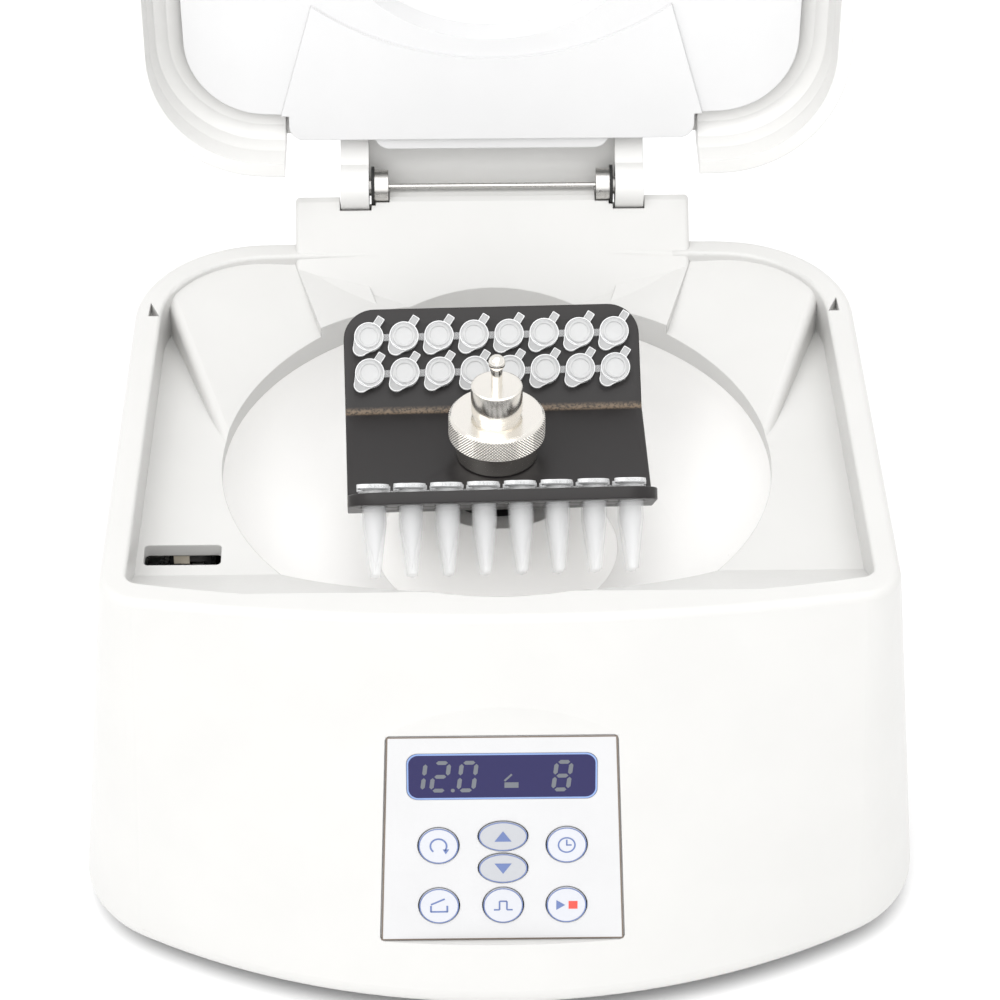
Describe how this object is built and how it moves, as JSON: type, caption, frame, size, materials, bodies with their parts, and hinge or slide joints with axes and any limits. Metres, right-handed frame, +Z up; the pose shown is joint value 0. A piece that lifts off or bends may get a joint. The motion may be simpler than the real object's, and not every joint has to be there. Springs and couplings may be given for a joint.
{
  "type": "mini centrifuge",
  "caption": "Bench mini centrifuge with a hinged domed lid, a fixed-angle strip rotor in an open bowl, and a sloping front control panel with a display and keys.",
  "frame": {"origin": "on the bench under the spindle's axis", "axes": "+Z up along the spindle, -Y towards the control panel at the front, X to the right as seen from the front"},
  "size_m": [0.2104, 0.2434, 0.2889],
  "materials": {
    "white_housing": "satin moulded ABS",
    "white_liner": "fine satin moulding",
    "bowl_white": "smooth satin",
    "dark_plastic": "fine grain",
    "beige_plastic": "satin",
    "rubber_black": "matt",
    "steel": "brushed",
    "nickel": "polished nickel plate",
    "anodised_black": "black anodised, satin",
    "tube_clear": "clear polypropylene",
    "cap_white": "frosted polypropylene",
    "panel_film": "printed film",
    "key_film": "printed film",
    "key_grey": "printed film",
    "display_glass": "smoked",
    "board_green": "solder mask",
    "copper": "enamelled windings"
  },
  "bodies": {
    "root": {"upper_housing": "white_housing", "base_plate": "dark_plastic", "feet": "rubber_black", "rotor_chamber": "bowl_white", "shaft_boot": "rubber_black", "vibration_dampers": "rubber_black", "motor_plate": "steel", "motor_can": "steel", "motor_bearings": "steel", "motor_stator": "copper", "latch_housing": "dark_plastic", "latch_guide": "beige_plastic", "latch_bracket": "steel", "housing_screws": "steel", "motor_screws": "steel", "spindle_cowl": "bowl_white", "mains_inlet": "dark_plastic", "inlet_pins": "steel", "switch_frame": "dark_plastic", "hinge_washers": "rubber_black", "display_module": "dark_plastic", "display_window": "display_glass", "control_overlay": "panel_film", "control_board": "board_green", "power_board": "board_green", "hinge_barrel_right": "steel", "hinge_barrel_left": "steel", "torsion_rod": "steel"},
    "lid": {"lid_shell": "white_housing", "lid_liner": "white_liner", "lid_striker": "steel"},
    "spindle": {"drive_shaft": "steel", "motor_rotor": "steel"},
    "rotor": {"rotor_plate": "anodised_black", "rotor_bushing": "steel"},
    "nut": {"rotor_nut": "nickel", "lift_pin": "nickel"},
    "latch_bolt_body": {"latch_bolt": "steel"},
    "rocker": {"switch_rocker": "dark_plastic"},
    "strip_rear_inner": {"tube_strip_rear_inner": "tube_clear", "strip_caps_rear_inner": "cap_white"},
    "strip_rear_outer": {"tube_strip_rear_outer": "tube_clear", "strip_caps_rear_outer": "cap_white"},
    "strip_front_inner": {"tube_strip_front_inner": "tube_clear", "strip_caps_front_inner": "cap_white"},
    "strip_front_outer": {"tube_strip_front_outer": "tube_clear", "strip_caps_front_outer": "cap_white"},
    "speed_key_body": {"speed_key": "key_film"},
    "time_key_body": {"time_key": "key_film"},
    "door_key_body": {"door_key": "key_film"},
    "pulse_key_body": {"pulse_key": "key_film"},
    "start_key_body": {"start_key": "key_film"},
    "up_key_body": {"up_key": "key_grey"},
    "down_key_body": {"down_key": "key_grey"}
  },
  "joints": [
    {"name": "lid_hinge", "type": "hinge", "parent": "root", "child": "lid", "pos_m": [0, 0.0901, 0.1215], "axis": [-1, 0, 0], "range_deg": [-98.7, 0]},
    {"name": "spindle_spin", "type": "hinge", "parent": "root", "child": "spindle", "pos_m": [0, 0, 0.1], "axis": [0, 0, 1], "continuous": true},
    {"name": "rotor_lift", "type": "slide", "parent": "spindle", "child": "rotor", "axis": [0, 0, 1], "range_m": [0, 0.045]},
    {"name": "nut_turn", "type": "hinge", "parent": "rotor", "child": "nut", "pos_m": [0, 0, 0.1], "axis": [0, 0, 1], "range_deg": [0, 720]},
    {"name": "bolt_slide", "type": "slide", "parent": "root", "child": "latch_bolt_body", "axis": [0, -1, 0], "range_m": [0, 0.005]},
    {"name": "rocker_turn", "type": "hinge", "parent": "root", "child": "rocker", "pos_m": [0.019, 0.087, 0.024], "axis": [-1, 0, 0], "range_deg": [0, 14]},
    {"name": "strip_rear_inner_lift", "type": "slide", "parent": "rotor", "child": "strip_rear_inner", "axis": [0.0187, -0.6689, 0.7431], "range_m": [0, 0.024]},
    {"name": "strip_rear_outer_lift", "type": "slide", "parent": "rotor", "child": "strip_rear_outer", "axis": [0.0187, -0.6689, 0.7431], "range_m": [0, 0.024]},
    {"name": "strip_front_inner_lift", "type": "slide", "parent": "rotor", "child": "strip_front_inner", "axis": [-0.0187, 0.6689, 0.7431], "range_m": [0, 0.024]},
    {"name": "strip_front_outer_lift", "type": "slide", "parent": "rotor", "child": "strip_front_outer", "axis": [-0.0187, 0.6689, 0.7431], "range_m": [0, 0.024]},
    {"name": "speed_key_press", "type": "slide", "parent": "root", "child": "speed_key_body", "axis": [0, -0.9753, 0.2207], "range_m": [-0.0004, 0], "stiffness_N_per_m": 800},
    {"name": "time_key_press", "type": "slide", "parent": "root", "child": "time_key_body", "axis": [0, -0.9753, 0.2207], "range_m": [-0.0004, 0], "stiffness_N_per_m": 800},
    {"name": "door_key_press", "type": "slide", "parent": "root", "child": "door_key_body", "axis": [0, -0.9753, 0.2207], "range_m": [-0.0004, 0], "stiffness_N_per_m": 800},
    {"name": "pulse_key_press", "type": "slide", "parent": "root", "child": "pulse_key_body", "axis": [0, -0.9753, 0.2207], "range_m": [-0.0004, 0], "stiffness_N_per_m": 800},
    {"name": "start_key_press", "type": "slide", "parent": "root", "child": "start_key_body", "axis": [0, -0.9753, 0.2207], "range_m": [-0.0004, 0], "stiffness_N_per_m": 800},
    {"name": "up_key_press", "type": "slide", "parent": "root", "child": "up_key_body", "axis": [0, -0.9753, 0.2207], "range_m": [-0.0004, 0], "stiffness_N_per_m": 800},
    {"name": "down_key_press", "type": "slide", "parent": "root", "child": "down_key_body", "axis": [0, -0.9753, 0.2207], "range_m": [-0.0004, 0], "stiffness_N_per_m": 800}
  ]
}
